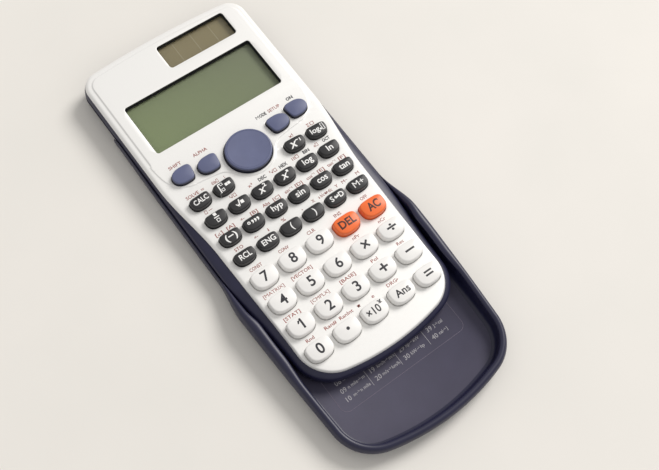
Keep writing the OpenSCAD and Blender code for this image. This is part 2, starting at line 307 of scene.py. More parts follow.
def make_piece(name, shape, body, materials, sharp=32, replaces=()):
    """Turns a shape into an object that rides on a body."""
    mesh = bpy.data.meshes.new(name)
    mesh.from_pydata([Vector((x, y + BODY_Y, z)) * MM for x, y, z in shape.points], [], shape.faces)
    for face, finish in zip(mesh.polygons, shape.finish):
        face.material_index = finish
    for material in materials:
        mesh.materials.append(material)
    mesh.validate()
    parts = bmesh.new()
    parts.from_mesh(mesh)
    bmesh.ops.recalc_face_normals(parts, faces=parts.faces)
    parts.to_mesh(mesh)
    parts.free()
    mesh.shade_smooth()
    mesh.set_sharp_from_angle(angle=math.radians(sharp))
    piece = bpy.data.objects.new(name, mesh)
    scene.collection.objects.link(piece)
    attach(piece, body)
    if replaces:
        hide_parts(*replaces)
    return piece


# ---------------------------------------------------------------- materials


def new_material(name, colour, roughness, metallic=0.0, coat=0.0, specular=0.5):
    material = bpy.data.materials.new(name)
    material.use_nodes = True
    shader = material.node_tree.nodes["Principled BSDF"]
    shader.inputs["Base Color"].default_value = (*colour, 1)
    shader.inputs["Roughness"].default_value = roughness
    shader.inputs["Metallic"].default_value = metallic
    shader.inputs["Coat Weight"].default_value = coat
    shader.inputs["Specular IOR Level"].default_value = specular
    return material, material.node_tree, shader


def noise_node(tree, scale_mm, detail=3.0):
    """Noise in the object's own place, with features of about scale_mm."""
    place = tree.nodes.new("ShaderNodeTexCoord")
    pattern = tree.nodes.new("ShaderNodeTexNoise")
    pattern.inputs["Scale"].default_value = 1 / (scale_mm * MM)
    pattern.inputs["Detail"].default_value = detail
    tree.links.new(place.outputs["Object"], pattern.inputs["Vector"])
    return pattern.outputs["Fac"]


def ramp_between(tree, factor, low, high, start=0.3, end=0.7):
    ramp = tree.nodes.new("ShaderNodeValToRGB")
    ramp.color_ramp.elements[0].position = start
    ramp.color_ramp.elements[1].position = end
    ramp.color_ramp.elements[0].color = (*low, 1)
    ramp.color_ramp.elements[1].color = (*high, 1)
    tree.links.new(factor, ramp.inputs["Fac"])
    return ramp.outputs["Color"]


def range_between(tree, factor, low, high):
    spread = tree.nodes.new("ShaderNodeMapRange")
    spread.inputs["To Min"].default_value = low
    spread.inputs["To Max"].default_value = high
    tree.links.new(factor, spread.inputs["Value"])
    return spread.outputs["Result"]


def object_axes(tree):
    """The outputs that give a point's place in its object, by axis."""
    place = tree.nodes.new("ShaderNodeTexCoord")
    parts = tree.nodes.new("ShaderNodeSeparateXYZ")
    tree.links.new(place.outputs["Object"], parts.inputs["Vector"])
    return parts.outputs


def worked_out(tree, operation, *terms):
    """One arithmetic step on terms that are numbers or other nodes' outputs."""
    node = tree.nodes.new("ShaderNodeMath")
    node.operation = operation
    for socket, term in zip(node.inputs, terms):
        if isinstance(term, bpy.types.NodeSocket):
            tree.links.new(term, socket)
        else:
            socket.default_value = term
    return node.outputs["Value"]


def bumped(tree, shader, factor, depth_mm):
    bump = tree.nodes.new("ShaderNodeBump")
    bump.inputs["Strength"].default_value = 1.0
    bump.inputs["Distance"].default_value = depth_mm * MM
    tree.links.new(factor, bump.inputs["Height"])
    tree.links.new(bump.outputs["Normal"], shader.inputs["Normal"])


def moulded(name, colour, roughness, grain_mm=0.25, grain_depth=0.004, shade=0.06, metallic=0.0, coat=0.0):
    """Moulded plastic: a fine grain, slightly uneven colour and an uneven gloss."""
    material, tree, shader = new_material(name, colour, roughness, metallic, coat)
    clouds = noise_node(tree, 9.0)
    darker = tuple(c * (1 - shade) for c in colour)
    lighter = tuple(min(1, c * (1 + shade)) for c in colour)
    tree.links.new(ramp_between(tree, clouds, darker, lighter), shader.inputs["Base Color"])
    grain = noise_node(tree, grain_mm, 2.0)
    tree.links.new(range_between(tree, grain, roughness - 0.06, roughness + 0.06), shader.inputs["Roughness"])
    bumped(tree, shader, grain, grain_depth)
    return material


def painted_silver():
    """Pearl silver paint: pale, with fine flakes and a soft metallic sheen."""
    material, tree, shader = new_material("pearl_silver_paint", (0.86, 0.85, 0.84), 0.42, 0.2, 0.15)
    shader.inputs["Coat Roughness"].default_value = 0.2
    flakes = noise_node(tree, 0.12, 1.0)
    colour = ramp_between(tree, flakes, (0.81, 0.805, 0.79), (0.87, 0.865, 0.85))
    tree.links.new(colour, shader.inputs["Base Color"])
    tree.links.new(range_between(tree, flakes, 0.34, 0.48), shader.inputs["Roughness"])
    bumped(tree, shader, noise_node(tree, 0.4, 2.0), 0.002)
    return material


def display_glass():
    """Unlit reflective display: grey-green, with painted shade darkening it towards its upper right corner.
    """
    material, tree, shader = new_material("display_film", (0.19, 0.23, 0.12), 0.35)
    low, high = mm_box("lcd_panel")
    axes = object_axes(tree)
    spread = tree.nodes.new("ShaderNodeMapRange")
    spread.inputs["From Min"].default_value = (low.x + low.y) * MM
    spread.inputs["From Max"].default_value = (high.x + high.y) * MM
    tree.links.new(worked_out(tree, "ADD", axes["X"], axes["Y"]), spread.inputs["Value"])
    # painted shade: the colour darkens from the lower left towards the upper right, for the shade of the
    # opening's wall on the display
    light, dark = (0.215, 0.257, 0.128), (0.175, 0.19, 0.122)
    colour = ramp_between(tree, spread.outputs["Result"], light, dark, 0.1, 0.95)
    tree.links.new(colour, shader.inputs["Base Color"])
    bumped(tree, shader, noise_node(tree, 0.3, 1.0), 0.001)
    return material


SOLAR_FIELDS = 4
SOLAR_LINE = 0.035  # share of a field that its line takes


def solar_film():
    """Amorphous solar cell: brown-grey with four fields between fine pale lines."""
    material, tree, shader = new_material("solar_film", (0.2, 0.17, 0.11), 0.25)
    low, high = mm_box("solar_cell")
    across = tree.nodes.new("ShaderNodeMapRange")
    across.clamp = False
    across.inputs["From Min"].default_value = low.x * MM
    across.inputs["From Max"].default_value = high.x * MM
    across.inputs["To Max"].default_value = SOLAR_FIELDS
    tree.links.new(object_axes(tree)["X"], across.inputs["Value"])
    line = worked_out(tree, "LESS_THAN", worked_out(tree, "FRACT", across.outputs["Result"]), SOLAR_LINE)
    colour = ramp_between(tree, line, (0.25, 0.205, 0.119), (0.32, 0.28, 0.19), 0.0, 1.0)
    tree.links.new(colour, shader.inputs["Base Color"])
    bumped(tree, shader, noise_node(tree, 0.4, 1.0), 0.001)
    return material


def clear_pane():
    """Clear acrylic: what is behind shows through, with a thin reflection on the faces a ray enters by."""
    material = bpy.data.materials.new("clear_acrylic")
    material.use_nodes = True
    tree = material.node_tree
    tree.nodes.remove(tree.nodes["Principled BSDF"])
    clear = tree.nodes.new("ShaderNodeBsdfTransparent")
    clear.inputs["Color"].default_value = (0.97, 0.98, 0.97, 1)
    gloss = tree.nodes.new("ShaderNodeBsdfGlossy")
    gloss.inputs["Roughness"].default_value = 0.06
    edge = tree.nodes.new("ShaderNodeFresnel")
    edge.inputs["IOR"].default_value = 1.45
    side = tree.nodes.new("ShaderNodeNewGeometry")
    outside = worked_out(tree, "SUBTRACT", 1, side.outputs["Backfacing"])
    share = worked_out(tree, "MULTIPLY", edge.outputs["Fac"], outside)
    both = tree.nodes.new("ShaderNodeMixShader")
    tree.links.new(share, both.inputs["Fac"])
    tree.links.new(clear.outputs["BSDF"], both.inputs[1])
    tree.links.new(gloss.outputs["BSDF"], both.inputs[2])
    tree.links.new(both.outputs["Shader"], tree.nodes["Material Output"].inputs["Surface"])
    return material


silver = painted_silver()
navy = moulded("navy_plastic", (0.013, 0.013, 0.043), 0.42, grain_depth=0.003)
navy_case = moulded("navy_case_plastic", (0.012, 0.012, 0.04), 0.4, grain_depth=0.003)
# Black: the lens's printed border, and painted shade on the walls of the display and solar openings
black = moulded("black_print_and_painted_shade", (0.012, 0.012, 0.014), 0.3)
navy_floor = moulded("navy_grained_floor", (0.047, 0.043, 0.08), 0.62, 0.35, 0.012)
charcoal = moulded("charcoal_key_plastic", (0.017, 0.017, 0.019), 0.42)
pale = moulded("pale_key_plastic", (0.84, 0.83, 0.815), 0.4, shade=0.02, coat=0.1)
orange = moulded("orange_key_plastic", (0.86, 0.155, 0.03), 0.38)
slate = moulded("slate_key_plastic", (0.104, 0.118, 0.218), 0.45)
# Painted shade: the flanges and sides of the menu keys and the pad are this dark navy, for the dark gap round
# their feet
painted_shade_side = moulded("painted_shade_key_side", (0.02, 0.022, 0.045), 0.45)
white_ink = moulded("white_ink", (0.85, 0.85, 0.84), 0.5, shade=0.03)
dark_ink = moulded("dark_ink", (0.018, 0.018, 0.024), 0.45)
brown_ink = moulded("brown_ink", (0.06, 0.018, 0.012), 0.45)
red_ink = moulded("red_ink", (0.29, 0.06, 0.045), 0.5)
grey_ink = moulded("tray_ink", (0.36, 0.35, 0.38), 0.55)
faint_ink = moulded("faint_tray_ink", (0.15, 0.125, 0.175), 0.6)

# ---------------------------------------------------------------- keys

# Half width, height above and below the middle, and how square the outline is above and below
KEY_SHAPES = {"number": (5.35, 2.9, 4.6, 3.6, 2.7), "function": (4.35, 1.85, 3.5, 4.2, 2.6)}
# Half height, half width and slant on the flat side, half width on the round side, squareness of each side
MENU_SHAPE = (3.5, 3.9, 0.16, 5, 4, 2.2)
KEY_TURNS = {"key_calculate": 3, "key_integral": 3, "key_reciprocal": -3, "key_log_base": -3}
KEY_TOP_DROP = 0.04  # the caps' tops lie this far under the CAD keys'
KEY_FLANGE_THICK = 0.9
KEY_DRAFT = 0.02


def power(v, n):
    return math.copysign(abs(v) ** (2 / n), v)


def key_outline(kind, g, count=48, mirrored=False):
    """Outline of a key about its middle, grown by g."""
    loop = []
    for i in range(count):
        t = 2 * math.pi * i / count
        c, s = math.cos(t), math.sin(t)
        if kind == "menu":
            half, flat, slant, bulge, n_flat, n_bulge = MENU_SHAPE
            n = n_flat if c > 0 else n_bulge
            y = (half + g) * power(s, n)
            x = (flat + slant * y + g if c > 0 else bulge + g) * power(c, n)
        else:
            half, up, down, n_up, n_down = KEY_SHAPES[kind]
            n = n_up if s > 0 else n_down
            x, y = (half + g) * power(c, n), ((up if s > 0 else down) + g) * power(s, n)
        loop.append((x, y))
    return [(-x, y) for x, y in loop[::-1]] if mirrored else loop


def turned(loop, degrees):
    c, s = math.cos(math.radians(degrees)), math.sin(math.radians(degrees))
    return [(c * x - s * y, s * x + c * y) for x, y in loop]


class Key:
    """A key's shape, turn and middle, which is where its outline fills the CAD key's box."""

    def __init__(self, node, kind, legend):
        self.node, self.kind, self.legend = node, kind, legend
        self.shape = "number" if kind == "clear" else kind
        low, high = mm_box(node)
        self.top, self.foot = high.z - KEY_TOP_DROP, low.z
        self.mirrored = kind == "menu" and low.x > 0
        self.turn = KEY_TURNS.get(node, 0)
        self.middle = (0, 0)
        xs, ys = zip(*self.outline(KEY_FLANGE))
        self.middle = (
            (low.x + high.x - min(xs) - max(xs)) / 2,
            (low.y + high.y - min(ys) - max(ys)) / 2 - BODY_Y,
        )

    def outline(self, g):
        loop = turned(key_outline(self.shape, g, mirrored=self.mirrored), self.turn)
        return [(x + self.middle[0], y + self.middle[1]) for x, y in loop]

    def place(self, x, y):
        """A point of the body from its place about the key's middle."""
        (dx, dy), = turned([(x, y)], self.turn)
        return self.middle[0] + dx, self.middle[1] + dy


# A word in ink: its size, its place about the middle, boldness, slant, and the width it is fitted to
Mark = namedtuple("Mark", "text size x y weight slant width", defaults=(0, 0, 0.06, 0, None))
KEY_LEGENDS = {
    "menu": {"key_shift": [], "key_alpha": [], "key_mode": [], "key_on": []},
    "function": {
        "key_calculate": [Mark("CALC", 2.9, width=6.4)],
        "key_integral": [
            Mark("∫", 4.2, -2.3, 0.1, slant=0.1), Mark("□", 1.5, -0.8, 1.2), Mark("□", 1.5, -1.3, -1.2),
            Mark("■", 1.6, 0.9, weight=0), Mark("■", 1.6, 2.2, weight=0)],
        "key_reciprocal": [Mark("x", 5.2, -1.1, 0, 0.08, 0.25), Mark("⁻¹", 3.6, 1.5, -0.3, 0.08)],
        "key_log_base": [
            Mark("log", 3.2, -1.1, width=4.0), Mark("■", 1.1, 1.4, -0.7, 0),
            Mark("▯", 2.9, 2.6, 0.5, 0.04, 0, 1.3)],
        "key_fraction": [
            Mark("■", 1.8, 0, 1.4, 0), Mark("−", 4.6, weight=0.03), Mark("□", 1.8, 0, -1.4)],
        "key_square_root": [Mark("√", 3.9, -0.7), Mark("■", 1.9, 1.0, 0, 0)],
        "key_square": [Mark("x", 4.6, -0.7, 0, 0.08, 0.25), Mark("²", 4.4, 1.3, 0.4)],
        "key_power": [Mark("x", 4.6, -0.6, 0, 0.08, 0.25), Mark("■", 1.4, 1.4, 1, 0)],
        "key_log": [Mark("log", 3.5, 0, 0.2, width=4.4)],
        "key_ln": [Mark("ln", 3.5, width=2.6)],
        "key_negative": [Mark("(−)", 3.6, weight=0.08, width=5.1)],
        "key_degrees": [Mark("°", 4.2, -2.2, -0.6, 0.08), Mark("’’’", 5.2, 0.7, -0.9, 0.1, width=3.4)],
        "key_hyp": [Mark("hyp", 3.4, 0, 0.3, width=4.9)],
        "key_sin": [Mark("sin", 3.6, width=4.1)],
        "key_cos": [Mark("cos", 3.6, 0, 0.1, width=4.7)],
        "key_tan": [Mark("tan", 3.6, width=4.6)],
        "key_recall": [Mark("RCL", 3.2, width=5.1)],
        "key_engineering": [Mark("ENG", 3.2, width=5.9)],
        "key_open_bracket": [Mark("(", 3.6)],
        "key_close_bracket": [Mark(")", 3.6)],
        "key_fraction_decimal": [Mark("S", 3.1, -2.2), Mark("⇔", 2.0, 0), Mark("D", 3.1, 2.2)],
        "key_memory_plus": [Mark("M+", 3.6, weight=0, width=4.9)],
    },
    "number": {
        **{f"key_{d}": [Mark(str(d), 5.9, weight=0.11)] for d in range(10)},
        "key_1": [Mark("1", 5.9, 0.3, weight=0.11), Mark("´", 6.6, -0.65, -0.6, 0.11)],
        "key_multiply": [Mark("×", 7.2, weight=0.1, width=3.3)],
        "key_divide": [Mark("÷", 7.2, weight=0.1, width=4.2)],
        "key_plus": [Mark("+", 7.2, weight=0.1, width=3.9)],
        "key_minus": [Mark("−", 7.2, weight=0.1, width=4.2)],
        "key_point": [Mark("●", 1.8, 0, 0, 0)],
        "key_exponent": [Mark("×10", 4.4, -0.9, 0, 0.08, width=6), Mark("ˣ", 4.8, 3.2, 0.5, 0.07)],
        "key_answer": [Mark("Ans", 4.2, 0, 0, 0.09, width=6.5)],
        "key_equals": [Mark("=", 6.6, 0, 0, 0.09, width=3.5)],
    },
    "clear": {
        "key_delete": [Mark("DEL", 4.6, 0, 0, 0.14, width=7.3)],
        "key_all_clear": [Mark("AC", 4.8, 0, 0, 0.14, width=5.6)],
    },
}
KEY_PLASTICS = {
    "menu": ("slate_plastic", slate, white_ink),
    "function": ("charcoal_plastic", charcoal, white_ink),
    "number": ("pale_plastic", pale, dark_ink),
    "clear": ("orange_plastic", orange, brown_ink),
}


LETTER_CUT = 0.7  # letters are cut at this pitch, so that they follow a crowned surface
CAPITAL = 0.69  # height of a capital for a size of one


def lettering(mark, thick=INK, fine=4):
    """A closed, thin mesh of a word, centred across and on the height of its capitals."""
    curve = bpy.data.curves.new("lettering", "FONT")
    curve.body = mark.text
    curve.size = mark.size
    curve.shear = mark.slant
    curve.offset = mark.weight
    curve.extrude = thick / 2
    curve.resolution_u = fine
    holder = bpy.data.objects.new("lettering", curve)
    scene.collection.objects.link(holder)
    bpy.context.view_layer.update()
    mesh = bpy.data.meshes.new_from_object(holder)
    parts = bmesh.new()
    parts.from_mesh(mesh)
    for axis in (0, 1):
        spread = [v.co[axis] for v in parts.verts]
        for k in range(math.ceil(min(spread) / LETTER_CUT), math.floor(max(spread) / LETTER_CUT) + 1):
            normal = Vector((axis == 0, axis == 1, 0))
            every = parts.verts[:] + parts.edges[:] + parts.faces[:]
            place = normal * k * LETTER_CUT
            bmesh.ops.bisect_plane(parts, geom=every, dist=1e-5, plane_co=place, plane_no=normal)
    parts.verts.index_update()
    shape = Shape()
    shape.points = [tuple(v.co) for v in parts.verts]
    for face in parts.faces:
        shape.face([v.index for v in face.verts])
    parts.free()
    xs = [p[0] for p in shape.points]
    middle = (min(xs) + max(xs)) / 2
    stretch = mark.width / (max(xs) - min(xs)) if mark.width else 1
    shape.points = [((x - middle) * stretch, y - CAPITAL / 2 * mark.size, z) for x, y, z in shape.points]
    bpy.data.objects.remove(holder)
    bpy.data.meshes.remove(mesh)
    bpy.data.curves.remove(curve)
    return shape


def laid(shape, x0, y0, turn, tree, lift=0.01):
    """Lettering moved to its place and laid on the surface below it."""
    c, s = math.cos(math.radians(turn)), math.sin(math.radians(turn))
    points = []
    for x, y, z in shape.points:
        px, py = x0 + c * x - s * y, y0 + s * x + c * y
        hit = tree.ray_cast(Vector((px, py, 50)), Vector((0, 0, -1)))[0]
        points.append((px, py, (hit.z if hit else 0) + lift + z))
    shape.points = points
    return shape


KEY_SHOULDER = {"number": 0.7, "function": 0.55, "menu": 0.6}
KEY_CROWN = {"number": 0.4, "function": 0.25, "menu": 0.3}
LEGEND_DROP = {"menu": 0, "function": -0.6, "number": -0.5}


def key_cap(key):
    """A key cap: flange, upright side, rounded shoulder and a low crown, with its legend in ink."""
    shape = Shape()
    shoulder, crown = KEY_SHOULDER[key.shape], KEY_CROWN[key.shape]
    flange_top = key.foot + KEY_FLANGE_THICK
    brow = key.top - crown - shoulder
    rings = [
        shape.ring(key.outline(KEY_FLANGE), key.foot),
        shape.ring(key.outline(KEY_FLANGE), flange_top),
        shape.ring(key.outline(0), flange_top),
        shape.ring(key.outline(-KEY_DRAFT), brow),
    ]
    for t in steps(0, math.pi / 2, 6)[1:]:
        edge = key.outline(-KEY_DRAFT - shoulder * (1 - math.cos(t)))
        rings.append(shape.ring(edge, brow + shoulder * math.sin(t)))
    cx, cy = (sum(p[i] for p in edge) / len(edge) for i in (0, 1))
    for s in (0.94, 0.86, 0.74, 0.6, 0.45, 0.3, 0.15):
        rings.append(shape.ring([(mix(cx, x, s), mix(cy, y, s)) for x, y in edge], key.top - crown * s * s))
    shape.loft(rings[:4], finish=2)
    shape.loft(rings[3:])
    shape.face(rings[0][::-1], 2)
    shape.face(rings[-1])
    tree = shape.tree()
    for mark in key.legend:
        place = key.place(mark.x, mark.y + LEGEND_DROP[key.shape])
        shape.merge(laid(lettering(mark), *place, key.turn, tree), 1)
    slot, plastic, ink = KEY_PLASTICS[key.kind]
    # the menu keys' sides carry painted shade; the other keys' sides keep their own plastic
    side_finish = painted_shade_side if key.kind == "menu" else plastic
    return make_piece(key.node + "_cap", shape, key.node, [plastic, ink, side_finish], replaces=[key.node])


keys = [Key(node, kind, legend) for kind, nodes in KEY_LEGENDS.items() for node, legend in nodes.items()]
for key in keys:
    key_cap(key)

# ---------------------------------------------------------------- cursor pad


PAD_FLANGE_THICK = 0.65
PAD_DRAFT = 0.02
PAD_SHOULDER = (0.6, 0.7)  # how far in and how far down its rounded rim reaches
PAD_DISH = 0.2
PAD_ARROW_REACH = (6.3, 5.7)


def pad_loop(g, count=96):
    (cx, cy), (rx, ry) = PAD_CENTRE, PAD_RADII
    angles = [2 * math.pi * i / count for i in range(count)]
    return [(cx + (rx + g) * math.cos(t), cy + (ry + g) * math.sin(t)) for t in angles]


def cursor_pad():
    """Round pad: a side in painted shade, a rounded rim, a fine groove round a shallow dish, and four raised
    arrows.
    """
    shape = Shape()
    top, foot = PAD_HIGH.z, PAD_LOW.z
    flange_top = foot + PAD_FLANGE_THICK
    wide, deep = PAD_SHOULDER
    profile = [(PAD_FLANGE, foot), (PAD_FLANGE, flange_top), (0, flange_top), (-PAD_DRAFT, top - deep)]
    for t in steps(0, math.pi / 2, 6)[1:]:
        profile.append((-PAD_DRAFT - wide * (1 - math.cos(t)), top - deep + deep * math.sin(t)))
    profile += [(-0.8, top), (-0.88, top - 0.1), (-1.0, top - 0.1), (-1.1, top - 0.02)]
    profile += [(-g, top - 0.02 - PAD_DISH * eased(g / 7)) for g in (1.6, 2.5, 3.5, 4.5, 5.5, 6.5, 7.5)]
    rings = [shape.ring(pad_loop(g), z) for g, z in profile]
    shape.loft(rings[:4], finish=1)
    shape.loft(rings[3:])
    shape.face(rings[0][::-1], 1)
    shape.face(rings[-1])
    tree = shape.tree()
    for turn in (0, 90, 180, 270):
        x = PAD_CENTRE[0] + PAD_ARROW_REACH[0] * math.cos(math.radians(turn))
        y = PAD_CENTRE[1] + PAD_ARROW_REACH[1] * math.sin(math.radians(turn))
        shape.merge(laid(lettering(Mark("▸", 2.4)), x, y, turn, tree), 0)
    finishes = [slate, painted_shade_side]
    return make_piece("cursor_pad_cap", shape, "pad", finishes, replaces=["cursor_pad"])


cursor_pad()

# ---------------------------------------------------------------- front shell

# Right half of the line under the raised panel: from beside the pad, out under the menu keys
PANEL_GAP = 1.3
PANEL_EDGE = 2.9
PANEL_CURVE = [
    (11.6, 12.3), (13.5, 13.4), (16.5, 14.0), (19.5, 14.4), (23.7, 14.8), (26.9, 15.2), (29.4, 16.3),
    (32.1, 18.5), (33.7, 20.7), (34.6, 23.2), (35.2, 26.5),
]
PANEL_STEP = 0.28
CREASE = (33.0, 28.6)
CREASE_DROP = 0.16
EDGE_PROFILE = [(0, 0), (0.02, 0.25), (0.34, 0.74), (0.62, 0.97), (1, 1)]  # shares of its width and height
EDGE_UPPER = 1.9
EDGE_LOWER = 1.0
DISPLAY_OPENING = (-30.1, 30.1, 33.8, 58, 1.2)
SOLAR_OPENING = (-4, 28.5, 63.5, 75.2, 1.3)


def panel_line():
    """The closed line round the raised panel that holds the display, the menu keys and the pad."""
    rx, ry = PAD_RADII[0] + PANEL_GAP, PAD_RADII[1] + PANEL_GAP
    arc = [(rx * math.sin(t), PAD_CENTRE[1] - ry * math.cos(t)) for t in steps(0, math.radians(66), 16)]
    curve = chaikin([arc[-1]] + PANEL_CURVE + [(35.55, 30)], 2)
    upper = [p for p in inset(FRONT, PANEL_EDGE) if p[1] > 30.5 and p[0] >= -1e-6]
    right = arc + curve[1:] + upper
    return right + [(-x, y) for x, y in right[-2:0:-1]]


PANEL = panel_line()


def edge_loop(share):
    """The outline moved in over the shell's rounded edge, which is narrower beside the number keys."""
    wide, narrow = inset(FRONT, share * EDGE_UPPER), inset(FRONT, share * EDGE_LOWER)
    slides = [eased(along(EDGE_TAPER, y)) for _, y in wide]
    return [(mix(p[0], q[0], t), mix(p[1], q[1], t)) for p, q, t in zip(wide, narrow, slides)]


def face_z(x, y):
    """Height of the silver face: the panel stands proud, and steps down under the display."""
    d = distance(PANEL, x, y)
    outside = 0.5 + 0.5 * clamped(d / 0.35) * (-1 if inside(PANEL, x, y) else 1)
    lower = CREASE_DROP * eased((CREASE[0] - y) / (CREASE[0] - CREASE[1])) if y < CREASE[0] else 0
    return FACE - max(lower, (PANEL_STEP + CREASE_DROP) * eased(outside) if outside > 0 else 0)


def rounded_loop(x0, x1, y0, y1, r, g):
    """Anticlockwise rounded rectangle, grown by g."""
    loop = []
    corners = ((x1 - r, y0 + r, -90), (x1 - r, y1 - r, 0), (x0 + r, y1 - r, 90), (x0 + r, y0 + r, 180))
    for cx, cy, start in corners:
        for t in steps(start, start + 90, 8):
            angle = math.radians(t)
            loop.append((cx + (r + g) * math.cos(angle), cy + (r + g) * math.sin(angle)))
    return loop


OPENINGS = [
    lambda g: rounded_loop(*DISPLAY_OPENING, g),
    lambda g: rounded_loop(*SOLAR_OPENING, g),
    lambda g: pad_loop(0.4 + g),
] + [lambda g, key=key: key.outline(KEY_GAP + g) for key in keys]
OPENING_ZONES = [opening(0.3) for opening in OPENINGS]


def sample_points(rim):
    """Points that carry the face's relief: a grid, lines by the panel's edge, and rings round openings."""
    points = []
    for g in (-0.45, -0.3, -0.15, 0, 0.15, 0.3, 0.45):
        loop = inset(PANEL, g)
        for (x0, y0), (x1, y1) in zip(loop, loop[1:] + loop[:1]):
            n = max(1, round(math.hypot(x1 - x0, y1 - y0) / 0.6))
            points += [(mix(x0, x1, i / n), mix(y0, y1, i / n)) for i in range(n)]
    for opening in OPENINGS:
        points += opening(0.45)
    for y in [CREASE[0] + 0.3 - 0.5 * i for i in range(11)]:
        points += [(x, y) for x in steps(-35, 35, 35)]
    points += [(x, y) for x in steps(-37, 37, 30) for y in steps(-79, 79, 64)]
    kept = []
    for x, y in points:
        if not inside(rim, x, y) or distance(rim, x, y) < 0.3:
            continue
        if any(inside(loop, x, y) for loop in OPENING_ZONES):
            continue
        kept.append((x, y))
    return kept


def front_shell():
    """Silver shell: a rounded edge, the relief of its face, and openings with softened rims."""
    shape = Shape()
    crest = FACE - PANEL_STEP - CREASE_DROP
    profile = chaikin(EDGE_PROFILE, 3)
    rings = [shape.ring(edge_loop(share), mix(PARTING, crest, rise)) for share, rise in profile]
    shape.loft(rings)
    tops, feet = [], []
    for i, opening in enumerate(OPENINGS):
        edge = [(x, y, face_z(x, y)) for x, y in opening(0.12)]
        top = shape.add(edge)
        soft = shape.add([(x, y, z - 0.04) for (x, y), (_, _, z) in zip(opening(0.035), edge)])
        wall = shape.add([(x, y, z - 0.13) for (x, y), (_, _, z) in zip(opening(0), edge)])
        foot = shape.ring(opening(0), PARTING)
        shape.loft([top, soft, wall])
        # The walls of the display and solar openings are black: painted shade, for these silver recess walls
        # lying in shade
        shape.strip(wall, foot, finish=1 if i < 2 else 0)
        tops.append(top)
        feet.append(foot)
    rim = rings[-1]
    shape.sheet(rim, tops, sample_points([shape.points[i][:2] for i in rim]), face_z)
    shape.sheet(rings[0], feet, [], None)
    return shape


front_shape = front_shell()
finishes = [silver, black]
make_piece("front_shell_skin", front_shape, "calculator", finishes, 40, ["front_shell"])


def window_border():
    """Black border printed on the clear plate behind the display and solar openings."""
    shape = Shape()
    top = mm_box("window_lens")[1].z
    for opening, width in ((OPENINGS[0], 0.45), (OPENINGS[1], 0.3)):
        rings = [shape.ring(opening(g), z) for g, z in
                 ((0.3, top), (0.3, top + INK), (-width, top + INK), (-width, top))]
        shape.loft(rings + rings[:1])
    return make_piece("window_border", shape, "calculator", [black])


window_border()

# Small legends on the face, as (middle y, [(text, from x, to x, ink)]), where ink 0 is dark and 1 is red
LEGEND_SIZE = 2.0
LEGEND_WEIGHT = (0.07, 0.02)  # for dark and for red ink; M and π keep the font's own weight
FACE_LEGENDS = [
    (26.0, [("SHIFT", -30.2, -24.6, 1), ("ON", 26.3, 29.4, 0)]),
    (25.6, [("ALPHA", -19.2, -12.8, 1), ("M", 11.1, 12.5, 0), ("ODE", 12.8, 16.0, 0),
            ("SETUP", 17.0, 22.6, 1)]),
    (11.7, [("SOLVE", -31.7, -26.0, 1), ("=", -24.8, -23.5, 1), ("d/dx□", -20.0, -16.9, 1),
            (":", -14.4, -13.9, 1), ("x!", 17.2, 19.2, 1), ("Σ□", 26.2, 29.6, 1)]),
    (2.8, [("□", -29.2, -28.0, 1), ("−", -27.3, -25.7, 1), ("³√□", -17.6, -14.6, 1), ("x³", -9.0, -6.9, 1),
           ("DEC", -4.0, -0.4, 0), ("ˣ√□", 1.5, 4.7, 1), ("HEX", 6.1, 9.8, 0), ("10□", 12.3, 15.4, 1),
           ("BIN", 17.7, 20.7, 0), ("e□", 23.1, 25.1, 1), ("OCT", 27.4, 30.9, 0)]),
    (-7.3, [("[∠]", -31.2, -28.0, 1), ("[A]", -26.0, -22.6, 1), ("←", -19.6, -17.8, 1),
            ("[B]", -15.0, -11.8, 1), ("Abs", -9.2, -6.0, 1), ("[C]", -4.2, -1.0, 1),
            ("sin⁻¹", 1.4, 5.2, 1), ("[D]", 6.5, 9.8, 1), ("cos⁻¹", 12.0, 16.0, 1),
            ("[E]", 17.4, 20.6, 1), ("tan⁻¹", 22.3, 26.4, 1), ("[F]", 27.8, 31.0, 1)]),
    (-16.4, [("STO", -28.7, -24.9, 1), ("←", -19.6, -17.8, 1), ("i", -13.4, -12.9, 1), ("%", -6.8, -5.0, 1),
             (",", 2.5, 2.9, 1), ("X", 7.8, 9.1, 1), ("a b/c⇔d/c", 11.0, 17.6, 1), ("Y", 19.3, 20.6, 1),
             ("M−", 22.6, 25.4, 1), ("M", 29.6, 31.1, 1)]),
    (-26.4, [("CONST", -28.8, -23.3, 1), ("CONV", -15.4, -10.8, 1), ("CLR", -1.9, 1.7, 1),
             ("INS", 11.2, 14.4, 1), ("OFF", 24.2, 27.4, 1)]),
    (-38.0, [("[MATRIX]", -30.8, -21.4, 1), ("[VECTOR]", -17.8, -8.4, 1), ("nPr", 11.3, 14.6, 1),
             ("nCr", 24.0, 27.5, 1)]),
    (-49.6, [("[STAT]", -29.8, -22.5, 1), ("[CMPLX]", -17.2, -8.9, 1), ("[BASE]", -3.6, 3.6, 1),
             ("Pol", 11.5, 14.5, 1), ("Rec", 24.2, 27.4, 1)]),
    (-60.9, [("Rnd", -27.9, -24.4, 1), ("Ran#", -19.4, -14.0, 1), ("RanInt", -12.4, -6.2, 1),
             ("π", -4.0, -2.7, 1), ("e", 2.8, 3.9, 1), ("DRG▸", 10.3, 15.9, 1)]),
]


def face_print():
    shape = Shape()
    tree = front_shape.tree()
    for y, words in FACE_LEGENDS:
        for text, x0, x1, ink in words:
            weight = 0 if "M" in text or text == "π" else LEGEND_WEIGHT[ink]
            letters = lettering(Mark(text, LEGEND_SIZE, weight=weight, width=x1 - x0), fine=2)
            shape.merge(laid(letters, (x0 + x1) / 2, y, 0, tree), ink)
    return make_piece("face_legends", shape, "calculator", [dark_ink, red_ink])


face_print()

# ---------------------------------------------------------------- rear shell


